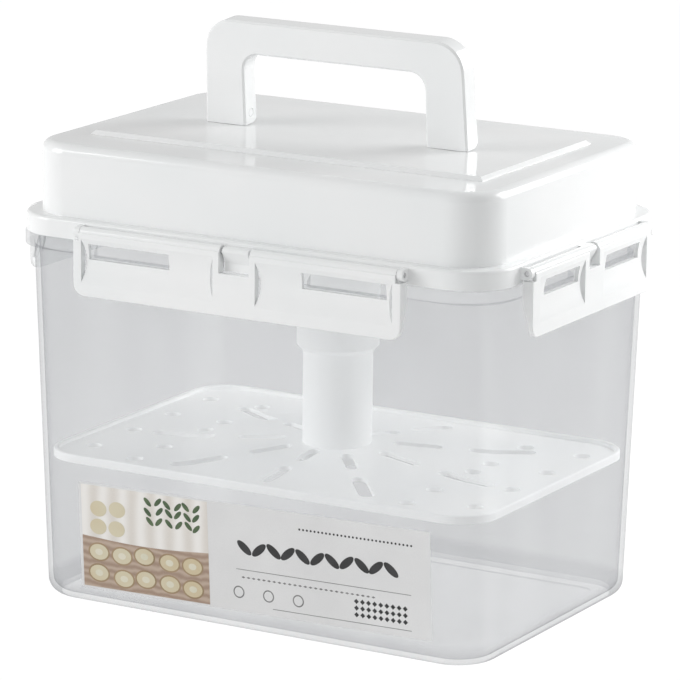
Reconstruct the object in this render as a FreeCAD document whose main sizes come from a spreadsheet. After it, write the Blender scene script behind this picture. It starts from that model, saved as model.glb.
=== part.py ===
"""Pickle keeper with a lift strainer, as a parametric assembly in millimetres.

X runs along the long side, the front is at -Y and Z is up. The origin is the middle of the
underside of the container. A clear container is closed by a lid that four latches hold down. The
lid carries a folding handle above and a telescopic column below, and the column carries the
strainer plate that presses the pickles under the brine.
"""
import FreeCAD, Part
import math
import os

import Sketcher

doc = FreeCAD.newDocument("PickleKeeper")
sheet = doc.addObject("Spreadsheet::Sheet", "Sizes")


# ---------------------------------------------------------------- sizes that stay bound to the sheet
class Size:
    """A size that holds its value and the sheet expression that gives it."""

    def __init__(self, value, text):
        self.value = value
        self.text = text

    def __add__(self, other):
        other = as_size(other)
        return Size(self.value + other.value, f"({self.text} + {other.text})")

    def __sub__(self, other):
        other = as_size(other)
        return Size(self.value - other.value, f"({self.text} - {other.text})")

    def __mul__(self, other):
        other = as_size(other)
        return Size(self.value * other.value, f"({self.text} * {other.text})")

    def __truediv__(self, other):
        other = as_size(other)
        return Size(self.value / other.value, f"({self.text} / {other.text})")

    def __pow__(self, other):
        other = as_size(other)
        return Size(self.value ** other.value, f"({self.text} ^ {other.text})")

    def __neg__(self):
        return Size(-self.value, f"(-1 * {self.text})")

    def __radd__(self, other):
        return as_size(other) + self

    def __rsub__(self, other):
        return as_size(other) - self

    def __rmul__(self, other):
        return as_size(other) * self

    def __rtruediv__(self, other):
        return as_size(other) / self


def as_size(number):
    """A plain number as a Size, or the Size itself."""
    if isinstance(number, Size):
        return number
    return Size(number, f"({number!r})")


def cell(alias, number):
    """Write one driving dimension into the sheet and return it as a Size."""
    cell.row += 1
    sheet.set(f"A{cell.row}", alias)
    sheet.set(f"B{cell.row}", str(number))
    sheet.setAlias(f"B{cell.row}", alias)
    sheet.recompute()
    return Size(getattr(sheet, alias), f"Sizes.{alias}")


cell.row = 0


def bind(item, name, size):
    """Tie a property of a document object to the sheet."""
    item.setExpression(name, as_size(size).text)


# ---------------------------------------------------------------- driving dimensions
# container
base_length = cell("base_length", 226.6)
base_width = cell("base_width", 152.8)
base_corner = cell("base_corner", 21.0)
base_round = cell("base_round", 7.0)
tub_height = cell("tub_height", 170.0)
wall_slope = cell("wall_slope", 0.0346)
tub_wall = cell("tub_wall", 2.2)
floor_thickness = cell("floor_thickness", 2.4)
floor_round = cell("floor_round", 5.0)
foot_recess = cell("foot_recess", 0.8)
foot_margin = cell("foot_margin", 14.0)
rim_height = cell("rim_height", 3.9)
rim_wall = cell("rim_wall", 1.7)
step_depth = cell("step_depth", 5.4)
collar_thickness = cell("collar_thickness", 1.9)
collar_reach = cell("collar_reach", 0.5)
collar_skirt_height = cell("collar_skirt_height", 3.6)
catch_root = cell("catch_root", 0.8)
catch_depth = cell("catch_depth", 2.9)
catch_height = cell("catch_height", 5.0)
catch_slope_height = cell("catch_slope_height", 2.4)
catch_side_gap = cell("catch_side_gap", 1.5)

# label
label_length = cell("label_length", 177.5)
label_width = cell("label_width", 48.4)
label_thickness = cell("label_thickness", 0.15)
label_corner = cell("label_corner", 0.8)
label_shift = cell("label_shift", 2.75)
label_middle = cell("label_middle", 34.0)
label_turn = cell("label_turn", 1.05)
label_gap = cell("label_gap", 0.01)

# lid
lid_length = cell("lid_length", 240.0)
lid_width = cell("lid_width", 166.0)
lid_corner = cell("lid_corner", 22.0)
lid_wall = cell("lid_wall", 2.2)
lid_seat_gap = cell("lid_seat_gap", 0.4)
skirt_height = cell("skirt_height", 8.5)
ledge_round = cell("ledge_round", 1.5)
dome_length = cell("dome_length", 228.4)
dome_width = cell("dome_width", 154.4)
dome_corner = cell("dome_corner", 19.2)
dome_height = cell("dome_height", 31.5)
dome_round = cell("dome_round", 4.5)
panel_length = cell("panel_length", 195.5)
panel_width = cell("panel_width", 99.3)
panel_rise = cell("panel_rise", 1.8)
panel_bevel = cell("panel_bevel", 1.5)
plug_gap = cell("plug_gap", 1.6)
seal_gap = cell("seal_gap", 0.2)
gasket_height = cell("gasket_height", 2.6)
gasket_gap = cell("gasket_gap", 0.1)
gasket_round = cell("gasket_round", 0.8)

# handle and the two lugs that carry it
handle_top_length = cell("handle_top_length", 129.0)
handle_base_length = cell("handle_base_length", 132.2)
handle_height = cell("handle_height", 42.5)
handle_thickness = cell("handle_thickness", 10.5)
handle_corner = cell("handle_corner", 13.5)
handle_bevel = cell("handle_bevel", 0.9)
grip_length = cell("grip_length", 91.4)
grip_height = cell("grip_height", 27.7)
grip_corner = cell("grip_corner", 7.5)
handle_foot = cell("handle_foot", 4.85)
foot_round = cell("foot_round", 4.6)
handle_lean = cell("handle_lean", 4.5)
pivot_height = cell("pivot_height", 5.4)
lug_inset = cell("lug_inset", 9.5)
lug_width = cell("lug_width", 6.0)
lug_radius = cell("lug_radius", 3.4)
lug_side_gap = cell("lug_side_gap", 0.3)
lug_end_gap = cell("lug_end_gap", 0.35)
lug_front_gap = cell("lug_front_gap", 0.7)
pin_diameter = cell("pin_diameter", 4.0)
pin_length = cell("pin_length", 14.0)
pin_chamfer = cell("pin_chamfer", 0.3)
pin_gap = cell("pin_gap", 0.05)

# latches
hinge_drop = cell("hinge_drop", 3.8)
hinge_offset = cell("hinge_offset", 3.2)
hinge_radius = cell("hinge_radius", 2.6)
rod_diameter = cell("rod_diameter", 2.4)
rod_chamfer = cell("rod_chamfer", 0.2)
rod_inset = cell("rod_inset", 0.3)
barrel_gap = cell("barrel_gap", 0.1)
ear_width = cell("ear_width", 2.6)
ear_gap = cell("ear_gap", 0.3)
knuckle_relief = cell("knuckle_relief", 0.5)
knuckle_side_gap = cell("knuckle_side_gap", 1.2)
tab_gap = cell("tab_gap", 0.4)
tab_thickness = cell("tab_thickness", 1.8)
tab_start = cell("tab_start", 5.0)
latch_face = cell("latch_face", 3.1)
latch_plate = cell("latch_plate", 1.8)
latch_rise = cell("latch_rise", 0.3)
latch_drop = cell("latch_drop", 27.7)
latch_corner = cell("latch_corner", 5.5)
latch_round = cell("latch_round", 0.6)
cheek_width = cell("cheek_width", 1.8)
cheek_reach = cell("cheek_reach", 1.8)
cheek_straight = cell("cheek_straight", 12.0)
front_latch_length = cell("front_latch_length", 163.0)
side_latch_length = cell("side_latch_length", 113.0)
front_border = cell("front_border", 4.2)
side_border = cell("side_border", 6.5)
front_boss = cell("front_boss", 21.0)
side_boss = cell("side_boss", 17.0)
scoop_depth = cell("scoop_depth", 1.5)
scoop_height = cell("scoop_height", 19.5)
scoop_drop = cell("scoop_drop", 11.95)
window_height = cell("window_height", 7.0)
window_drop = cell("window_drop", 11.2)
front_window_start = cell("front_window_start", 33.0)
front_window_length = cell("front_window_length", 41.0)
side_window_start = cell("side_window_start", 12.5)
side_window_length = cell("side_window_length", 31.5)
front_notch = cell("front_notch", 15.2)
side_notch = cell("side_notch", 9.6)
front_notch_drop = cell("front_notch_drop", 9.2)
side_notch_drop = cell("side_notch_drop", 7.2)
gill_height = cell("gill_height", 18.0)
gill_width = cell("gill_width", 2.2)

# telescopic column
sleeve_outer = cell("sleeve_outer", 36.9)
sleeve_inner = cell("sleeve_inner", 33.5)
sleeve_bottom = cell("sleeve_bottom", 116.0)
socket_outer = cell("socket_outer", 42.0)
socket_depth = cell("socket_depth", 8.0)
seat_gap = cell("seat_gap", 0.03)
bush_flange = cell("bush_flange", 3.5)
bush_taper = cell("bush_taper", 1.95)
bush_spigot = cell("bush_spigot", 8.0)
slide_gap = cell("slide_gap", 0.1)
column_outer = cell("column_outer", 31.1)
column_inner = cell("column_inner", 27.1)
column_top = cell("column_top", 174.5)
column_cap = cell("column_cap", 2.0)
head_height = cell("head_height", 6.0)
ring_height = cell("ring_height", 2.0)
ring_depth = cell("ring_depth", 2.0)
ring_gap = cell("ring_gap", 0.05)
ring_round = cell("ring_round", 0.5)

# strainer plate and its nut
hub_top = cell("hub_top", 69.7)
hub_radius = cell("hub_radius", 17.5)
plate_top = cell("plate_top", 65.1)
plate_thickness = cell("plate_thickness", 2.0)
plate_gap = cell("plate_gap", 0.2)
cone_radius = cell("cone_radius", 70.0)
lip_height = cell("lip_height", 1.8)
lip_wall = cell("lip_wall", 2.4)
lip_round = cell("lip_round", 0.8)
ray_reach_x = cell("ray_reach_x", 88.0)
ray_reach_y = cell("ray_reach_y", 64.0)
ray_power = cell("ray_power", 3.0)
inner_slot_start = cell("inner_slot_start", 0.28)
inner_slot_end = cell("inner_slot_end", 0.53)
outer_slot_start = cell("outer_slot_start", 0.66)
inner_slot_width = cell("inner_slot_width", 5.8)
outer_slot_width = cell("outer_slot_width", 6.8)
hole_diameter = cell("hole_diameter", 7.5)
outer_hole_x = cell("outer_hole_x", 97.0)
inner_hole_x = cell("inner_hole_x", 69.0)
hole_step = cell("hole_step", 16.5)
nut_radius = cell("nut_radius", 17.0)
nut_height = cell("nut_height", 5.0)
nut_spigot = cell("nut_spigot", 9.3)
nut_floor = cell("nut_floor", 2.5)
nut_wall = cell("nut_wall", 2.0)

RAY_COUNT = 9
FRONT_RAY = -90.0
# places of the round holes along Y, in hole steps: the row near each end and the row inside it
OUTER_ROW = (-3, -1, 1, 3)
INNER_ROW = (-3.6, -2.1, 0, 1, 3)

# ---------------------------------------------------------------- derived heights
collar_top = tub_height - rim_height
collar_bottom = collar_top - collar_thickness
collar_skirt_bottom = collar_bottom - collar_skirt_height
mouth_step = tub_height - step_depth
lid_bottom = collar_top + lid_seat_gap
ledge_top = lid_bottom + skirt_height
dome_top = ledge_top + dome_height
ceiling = dome_top - lid_wall
panel_top = dome_top + panel_rise
gasket_bottom = tub_height + seal_gap
channel_ceiling = gasket_bottom + gasket_height
pivot_z = panel_top + pivot_height
hinge_z = ledge_top - hinge_drop
front_hinge = lid_width / 2 + hinge_offset
side_hinge = lid_length / 2 + hinge_offset
lug_x = grip_length / 2 + lug_inset


# ---------------------------------------------------------------- outlines
def grown(outline, amount):
    """The outline (length, width, corner) moved outward all round."""
    length, width, corner = outline
    return length + amount * 2, width + amount * 2, corner + amount


base_outline = (base_length, base_width, base_corner)
lid_outline = (lid_length, lid_width, lid_corner)
dome_outline = (dome_length, dome_width, dome_corner)
mouth_outline = grown(dome_outline, plug_gap)
collar_outline = grown(lid_outline, collar_reach)
plate_outline = grown(base_outline, -(tub_wall + plate_gap))


# ---------------------------------------------------------------- bodies, sketches and features
def new_body(label):
    """A body whose label is the name of the piece."""
    body = doc.addObject("PartDesign::Body", label)
    body.Label = label
    return body


def new_sketch(body, name, plane, offset=0):
    """A sketch on one of the body's own planes, moved along the plane's normal."""
    sketch = body.newObject("Sketcher::SketchObject", name)
    support = next(item for item in body.Origin.OriginFeatures if item.Role == plane)
    sketch.AttachmentSupport = [(support, "")]
    sketch.MapMode = "FlatFace"
    bind(sketch, "AttachmentOffset.Base.z", offset)
    return sketch


def constrain(sketch, kind, geometry, point, size):
    """Pin one coordinate of a sketch point, measured from the sketch's origin."""
    value = as_size(size).value
    index = sketch.addConstraint(Sketcher.Constraint(kind, -1, 1, geometry, point, value))
    bind(sketch, f"Constraints[{index}]", size)


def circle(sketch, x, y, radius):
    """A circle with its centre and radius bound to the sheet."""
    centre = FreeCAD.Vector(as_size(x).value, as_size(y).value, 0)
    curve = Part.Circle(centre, FreeCAD.Vector(0, 0, 1), as_size(radius).value)
    geometry = sketch.addGeometry(curve)
    constrain(sketch, "DistanceX", geometry, 3, x)
    constrain(sketch, "DistanceY", geometry, 3, y)
    index = sketch.addConstraint(Sketcher.Constraint("Radius", geometry, as_size(radius).value))
    bind(sketch, f"Constraints[{index}]", radius)


def line_to(x, y):
    """A straight step of a path, to the point x, y."""
    return {"end": (as_size(x), as_size(y))}


def arc_to(x, y, centre_x, centre_y, turn):
    """A round step of a path about a centre, to x, y; turn is 1 to the left and -1 to the right."""
    centre = (as_size(centre_x), as_size(centre_y))
    return {"end": (as_size(x), as_size(y)), "centre": centre, "turn": turn}


def path(sketch, *steps):
    """A closed path that starts and ends at the last step's point, with every point bound."""
    start = steps[-1]["end"]
    drawn = []
    for step in steps:
        if "centre" in step:
            drawn.append(draw_arc(sketch, start, step))
        else:
            ends = [FreeCAD.Vector(x.value, y.value, 0) for x, y in (start, step["end"])]
            drawn.append((sketch.addGeometry(Part.LineSegment(*ends)), 1, 2))
        start = step["end"]
    for index, (geometry, first, last) in enumerate(drawn):
        following, its_first, _ = drawn[(index + 1) % len(drawn)]
        sketch.addConstraint(Sketcher.Constraint("Coincident", geometry, last, following, its_first))
        pin_end(sketch, steps[index], geometry, last)
        if "centre" in steps[index]:
            constrain(sketch, "DistanceX", geometry, 3, steps[index]["centre"][0])
            constrain(sketch, "DistanceY", geometry, 3, steps[index]["centre"][1])


def draw_arc(sketch, start, step):
    """Add an arc; sketch arcs always run to the left, so a right turn is drawn from its end."""
    centre = FreeCAD.Vector(step["centre"][0].value, step["centre"][1].value, 0)
    points = [FreeCAD.Vector(x.value, y.value, 0) for x, y in (start, step["end"])]
    angles = [math.atan2(point.y - centre.y, point.x - centre.x) for point in points]
    radius = (points[0] - centre).Length
    whole = Part.Circle(centre, FreeCAD.Vector(0, 0, 1), radius)
    if step["turn"] > 0:
        return sketch.addGeometry(Part.ArcOfCircle(whole, angles[0], angles[1])), 1, 2
    return sketch.addGeometry(Part.ArcOfCircle(whole, angles[1], angles[0])), 2, 1


def pin_end(sketch, step, geometry, point):
    """Pin a step's end; an arc's end keeps one coordinate free, which its centre settles."""
    x, y = step["end"]
    if "centre" not in step:
        constrain(sketch, "DistanceX", geometry, point, x)
        constrain(sketch, "DistanceY", geometry, point, y)
        return
    across = abs(x.value - step["centre"][0].value)
    along = abs(y.value - step["centre"][1].value)
    if across > along:
        constrain(sketch, "DistanceY", geometry, point, y)
    else:
        constrain(sketch, "DistanceX", geometry, point, x)


def rounded_rectangle(sketch, outline):
    """A rounded rectangle centred on the sketch's origin."""
    length, width, corner = outline
    x, y = length / 2, width / 2
    flat_x, flat_y = x - corner, y - corner
    path(
        sketch,
        line_to(flat_x, -y),
        arc_to(x, -flat_y, flat_x, -flat_y, 1),
        line_to(x, flat_y),
        arc_to(flat_x, y, flat_x, flat_y, 1),
        line_to(-flat_x, y),
        arc_to(-x, flat_y, -flat_x, flat_y, 1),
        line_to(-x, -flat_y),
        arc_to(-flat_x, -y, -flat_x, -flat_y, 1),
    )


def rectangle(sketch, left, bottom, right, top):
    """A rectangle between two corners."""
    path(
        sketch,
        line_to(right, bottom),
        line_to(right, top),
        line_to(left, top),
        line_to(left, bottom),
    )


def polygon(sketch, *points):
    """A closed polygon."""
    path(sketch, *[line_to(x, y) for x, y in points])


def stadium(sketch, angle, start, end, width):
    """A slot with round ends on a ray from the origin, between two distances along it."""
    along = (math.cos(math.radians(angle)), math.sin(math.radians(angle)))
    side = (-along[1], along[0])
    half = width / 2
    first, last = start + half, end - half

    def spot(reach, offset):
        return reach * along[0] + offset * side[0], reach * along[1] + offset * side[1]

    first_centre, last_centre = spot(first, 0), spot(last, 0)
    path(
        sketch,
        line_to(*spot(last, -half)),
        arc_to(*spot(last + half, 0), *last_centre, 1),
        arc_to(*spot(last, half), *last_centre, 1),
        line_to(*spot(first, half)),
        arc_to(*spot(first - half, 0), *first_centre, 1),
        arc_to(*spot(first, -half), *first_centre, 1),
    )


def pad(body, name, sketch, length, symmetric=False, taper=None):
    """Extrude a sketch along its normal, or evenly to both sides."""
    feature = body.newObject("PartDesign::Pad", name)
    feature.Profile = sketch
    feature.SideType = "Symmetric" if symmetric else "One side"
    bind(feature, "Length", length)
    if taper is not None:
        feature.setExpression("TaperAngle", taper)
    doc.recompute()
    return feature


def pocket(body, name, sketch, depth, upward=False, symmetric=False, taper=None):
    """Cut a sketch against its normal, or along it if upward, and check that it cut something."""
    before = body.Shape.Volume
    feature = body.newObject("PartDesign::Pocket", name)
    feature.Profile = sketch
    feature.SideType = "Symmetric" if symmetric else "One side"
    feature.Reversed = upward
    bind(feature, "Length", depth)
    if taper is not None:
        feature.setExpression("TaperAngle", taper)
    doc.recompute()
    if body.Shape.Volume >= before:
        raise RuntimeError(f"{name} cut nothing")
    return feature


def edges_where(feature, test):
    """Names of the feature's edges for which test is true."""
    edges = enumerate(feature.Shape.Edges, start=1)
    return [f"Edge{number}" for number, edge in edges if test(edge)]


def near(first, second):
    """True where two measures agree."""
    return abs(first - as_size(second).value) < 1e-4


def lies_at(level, axis="Z"):
    """A test for edges that lie wholly at one level of an axis."""
    def test(edge):
        box = edge.BoundBox
        return near(getattr(box, axis + "Min"), level) and near(getattr(box, axis + "Max"), level)

    return test


def dress(kind, body, name, feature, test, size):
    """Fillet or chamfer the edges that the test picks."""
    names = edges_where(feature, test)
    if not names:
        raise RuntimeError(f"{name} found no edges")
    dressed = body.newObject("PartDesign::" + kind, name)
    dressed.Base = (feature, names)
    bind(dressed, "Radius" if kind == "Fillet" else "Size", size)
    doc.recompute()
    return dressed


def turned(body, name, *profile):
    """Revolve a polygon of (radius, height) points about the Z axis."""
    sketch = new_sketch(body, name + "_profile", "XZ_Plane")
    polygon(sketch, *profile)
    feature = body.newObject("PartDesign::Revolution", name)
    feature.Profile = sketch
    feature.ReferenceAxis = (sketch, ["V_Axis"])
    feature.Angle = 360
    doc.recompute()
    return feature


def rod(label, radius, length, chamfer, x=0, y=0, z=0, quarter_turns=0):
    """A round bar along its own X axis, chamfered at both ends and centred on x, y, z."""
    body = new_body(label)
    sketch = new_sketch(body, label + "_section", "YZ_Plane")
    circle(sketch, 0, 0, radius)
    bar = pad(body, label + "_bar", sketch, length, symmetric=True)
    dress("Chamfer", body, label + "_ends", bar, lambda edge: near(edge.BoundBox.XLength, 0), chamfer)
    place(body, x, y, z, quarter_turns)
    return body


def place(body, x, y, z, quarter_turns=0):
    """Move a body to its place after turning it about Z."""
    body.Placement = FreeCAD.Placement(
        FreeCAD.Vector(0, 0, 0), FreeCAD.Rotation(FreeCAD.Vector(0, 0, 1), 90 * quarter_turns)
    )
    bind(body, "Placement.Base.x", x)
    bind(body, "Placement.Base.y", y)
    bind(body, "Placement.Base.z", z)


# ---------------------------------------------------------------- the four sides
class Side:
    """One of the four sides, seen as the front turned about Z by quarter turns."""

    def __init__(self, name, quarter_turns, long_side):
        self.name = name
        self.quarter_turns = quarter_turns
        self.sign = 1 if quarter_turns in (0, 3) else -1
        self.plane = "YZ_Plane" if long_side else "XZ_Plane"
        self.hinge = front_hinge if long_side else side_hinge
        self.face = lid_width / 2 if long_side else lid_length / 2
        self.latch_length = front_latch_length if long_side else side_latch_length
        self.border = front_border if long_side else side_border
        self.boss = front_boss if long_side else side_boss
        self.window_start = front_window_start if long_side else side_window_start
        self.window_length = front_window_length if long_side else side_window_length
        self.notch = front_notch if long_side else side_notch
        self.notch_drop = front_notch_drop if long_side else side_notch_drop

    def outward(self, reach):
        """A distance out from the middle, as the sketch plane's horizontal coordinate."""
        return -reach * self.sign

    def origin(self):
        """Where the hinge axis crosses the middle of this side."""
        places = {
            0: (0, -self.hinge),
            1: (self.hinge, 0),
            2: (0, self.hinge),
            3: (-self.hinge, 0),
        }
        return places[self.quarter_turns]


SIDES = [
    Side("front", 0, True),
    Side("right", 1, False),
    Side("back", 2, True),
    Side("left", 3, False),
]


# ---------------------------------------------------------------- container
def make_container():
    """Tapered tub with a collar, a rim for the gasket and a pair of catches on each side."""
    body = new_body("container")
    taper = f"atan({wall_slope.text})"

    sketch = new_sketch(body, "tub_outline", "XY_Plane")
    rounded_rectangle(sketch, base_outline)
    tub = pad(body, "tub", sketch, collar_top, taper=taper)
    dress("Fillet", body, "base_edge", tub, lies_at(0), base_round)

    sketch = new_sketch(body, "collar_outline", "XY_Plane", collar_bottom)
    rounded_rectangle(sketch, collar_outline)
    pad(body, "collar", sketch, collar_thickness)

    sketch = new_sketch(body, "collar_skirt_outline", "XY_Plane", collar_skirt_bottom)
    rounded_rectangle(sketch, collar_outline)
    pad(body, "collar_skirt", sketch, collar_skirt_height)

    sketch = new_sketch(body, "rim_outline", "XY_Plane", collar_bottom)
    rounded_rectangle(sketch, grown(mouth_outline, rim_wall))
    pad(body, "rim", sketch, tub_height - collar_bottom)

    for side in SIDES:
        for end in (1, -1):
            add_catch(body, side, end)

    sketch = new_sketch(body, "hollow_outline", "XY_Plane", floor_thickness)
    rounded_rectangle(sketch, grown(base_outline, wall_slope * floor_thickness - tub_wall))
    hollow = pocket(body, "hollow", sketch, mouth_step - floor_thickness, upward=True, taper=taper)
    dress("Fillet", body, "floor_edge", hollow, lies_at(floor_thickness), floor_round)

    sketch = new_sketch(body, "mouth_outline", "XY_Plane", mouth_step)
    rounded_rectangle(sketch, mouth_outline)
    pocket(body, "mouth", sketch, step_depth, upward=True)

    sketch = new_sketch(body, "foot_outline", "XY_Plane")
    rounded_rectangle(sketch, grown(base_outline, -foot_margin))
    pocket(body, "foot", sketch, foot_recess, upward=True)
    return body


def add_catch(body, side, end):
    """A sloped rib on the collar that one window of a latch snaps over."""
    length = side.window_length - catch_side_gap * 2
    middle = side.window_start + side.window_length / 2
    # the XZ plane looks along -Y, so a place along +Y is a negative offset there
    sketch = new_sketch(body, f"catch_{side.name}_{'right' if end > 0 else 'left'}", side.plane, middle * end)
    root = side.face + collar_reach
    tip = root + catch_depth
    inside = root - catch_root
    top = collar_skirt_bottom + catch_height
    polygon(
        sketch,
        (side.outward(inside), collar_skirt_bottom),
        (side.outward(tip), collar_skirt_bottom),
        (side.outward(tip), top - catch_slope_height),
        (side.outward(root), top),
        (side.outward(inside), top),
    )
    pad(body, sketch.Name + "_rib", sketch, length, symmetric=True)


# ---------------------------------------------------------------- label
def make_label():
    """A thin film on the front wall, which it follows, stuck on a little out of level."""
    body = new_body("label")
    sketch = new_sketch(body, "label_outline", "XY_Plane", label_gap)
    rounded_rectangle(sketch, (label_length, label_width, label_corner))
    pad(body, "label_film", sketch, label_thickness)
    lean = math.degrees(math.atan(wall_slope.value))
    upright = FreeCAD.Rotation(FreeCAD.Vector(1, 0, 0), 90 + lean)
    turn = FreeCAD.Rotation(FreeCAD.Vector(0, 0, 1), label_turn.value)
    body.Placement = FreeCAD.Placement(FreeCAD.Vector(0, 0, 0), upright * turn)
    bind(body, "Placement.Base.x", label_shift)
    bind(body, "Placement.Base.y", -(base_width / 2 + wall_slope * label_middle))
    bind(body, "Placement.Base.z", label_middle)
    return body


# ---------------------------------------------------------------- lid
def make_lid():
    """Lid with a skirt over the rim, a raised dome, a raised panel, lugs and hinge ears."""
    body = new_body("lid")
    sketch = new_sketch(body, "skirt_outline", "XY_Plane", lid_bottom)
    rounded_rectangle(sketch, lid_outline)
    skirt = pad(body, "skirt", sketch, skirt_height)
    dress("Fillet", body, "ledge_edge", skirt, lies_at(ledge_top), ledge_round)

    sketch = new_sketch(body, "dome_outline", "XY_Plane", lid_bottom)
    rounded_rectangle(sketch, dome_outline)
    dome = pad(body, "dome", sketch, dome_top - lid_bottom)
    dress("Fillet", body, "dome_edge", dome, lies_at(dome_top), dome_round)

    sketch = new_sketch(body, "panel_outline", "XY_Plane", dome_top - lid_wall / 2)
    x, y = panel_length / 2, panel_width / 2
    rectangle(sketch, -x, -y, x, y)
    panel = pad(body, "panel", sketch, panel_rise + lid_wall / 2)
    dress("Chamfer", body, "panel_edge", panel, lies_at(panel_top), panel_bevel)

    sketch = new_sketch(body, "cavity_outline", "XY_Plane", lid_bottom)
    rounded_rectangle(sketch, grown(dome_outline, -lid_wall))
    cavity = pocket(body, "cavity", sketch, ceiling - lid_bottom, upward=True)
    dress("Fillet", body, "cavity_edge", cavity, lies_at(ceiling), dome_round - lid_wall)

    sketch = new_sketch(body, "panel_hollow_outline", "XY_Plane", ceiling)
    x, y = panel_length / 2 - lid_wall, panel_width / 2 - lid_wall
    rectangle(sketch, -x, -y, x, y)
    pocket(body, "panel_hollow", sketch, panel_rise, upward=True)

    sketch = new_sketch(body, "channel_outline", "XY_Plane", lid_bottom)
    rounded_rectangle(sketch, grown(lid_outline, -lid_wall))
    rounded_rectangle(sketch, dome_outline)
    pocket(body, "channel", sketch, channel_ceiling - lid_bottom, upward=True)

    sketch = new_sketch(body, "socket_outline", "XY_Plane", ceiling - socket_depth)
    circle(sketch, 0, 0, socket_outer / 2)
    circle(sketch, 0, 0, sleeve_outer / 2 + seat_gap)
    pad(body, "socket", sketch, socket_depth + panel_rise + lid_wall / 2)

    for end in (1, -1):
        add_handle_lug(body, end)
    for side in SIDES:
        add_hinge_ears(body, side)
    return body


def add_handle_lug(body, end):
    """A round-topped lug on the panel, bored for one of the handle's pins."""
    side_name = "right" if end > 0 else "left"
    sketch = new_sketch(body, f"handle_lug_{side_name}", "YZ_Plane", lug_x * end)
    root = panel_top - lid_wall / 2
    path(
        sketch,
        line_to(lug_radius, root),
        line_to(lug_radius, pivot_z),
        arc_to(0, pivot_z + lug_radius, 0, pivot_z, 1),
        arc_to(-lug_radius, pivot_z, 0, pivot_z, 1),
        line_to(-lug_radius, root),
    )
    pad(body, sketch.Name + "_block", sketch, lug_width, symmetric=True)
    sketch = new_sketch(body, f"handle_lug_{side_name}_bore", "YZ_Plane", lug_x * end)
    circle(sketch, 0, pivot_z, pin_diameter / 2 + pin_gap)
    pocket(body, sketch.Name + "_hole", sketch, lug_width * 2, symmetric=True)


def add_hinge_ears(body, side):
    """Two ears and a middle knuckle on the skirt, bored for the rod that a latch turns on."""
    ear_middle = side.latch_length / 2 - ear_width / 2
    root = side.outward(side.face - lid_wall / 2)
    axis = side.outward(side.hinge)
    for ear_name, middle in (("right", ear_middle), ("left", -ear_middle)):
        sketch = new_sketch(body, f"ear_{side.name}_{ear_name}", side.plane, middle)
        path(
            sketch,
            line_to(axis, hinge_z + hinge_radius),
            arc_to(side.outward(side.hinge + hinge_radius), hinge_z, axis, hinge_z, side.sign),
            arc_to(axis, hinge_z - hinge_radius, axis, hinge_z, side.sign),
            line_to(root, hinge_z - hinge_radius),
            line_to(root, hinge_z + hinge_radius),
        )
        pad(body, sketch.Name + "_block", sketch, ear_width, symmetric=True)

    # the knuckle runs down into a tab that fills the latch's notch and hangs clear of the collar
    radius = hinge_radius - knuckle_relief
    tab_back = side.face + collar_reach + tab_gap
    tab_front = side.outward(tab_back + tab_thickness)
    tab_bottom = hinge_z - side.notch_drop + tab_gap
    sketch = new_sketch(body, f"knuckle_{side.name}", side.plane)
    path(
        sketch,
        line_to(axis, hinge_z + radius),
        arc_to(side.outward(side.hinge + radius), hinge_z, axis, hinge_z, side.sign),
        line_to(tab_front, hinge_z - tab_start),
        line_to(tab_front, tab_bottom),
        line_to(side.outward(tab_back), tab_bottom),
        line_to(side.outward(tab_back), lid_bottom),
        line_to(root, lid_bottom),
        line_to(root, hinge_z + radius),
    )
    pad(body, sketch.Name + "_block", sketch, side.notch - knuckle_side_gap * 2, symmetric=True)

    sketch = new_sketch(body, f"ear_{side.name}_bore", side.plane)
    circle(sketch, axis, hinge_z, rod_diameter / 2)
    pocket(body, sketch.Name + "_hole", sketch, side.latch_length + ear_width, symmetric=True)


# ---------------------------------------------------------------- gasket
def make_gasket():
    """A silicone ring in the lid's channel, above the rim that it seals on."""
    body = new_body("lid_gasket")
    sketch = new_sketch(body, "gasket_outline", "XY_Plane", gasket_bottom)
    rounded_rectangle(sketch, grown(lid_outline, -(lid_wall + gasket_gap)))
    rounded_rectangle(sketch, grown(dome_outline, gasket_gap))
    ring = pad(body, "gasket_ring", sketch, gasket_height)
    dress("Fillet", body, "gasket_lips", ring, lies_at(gasket_bottom), gasket_round)
    return body


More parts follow.
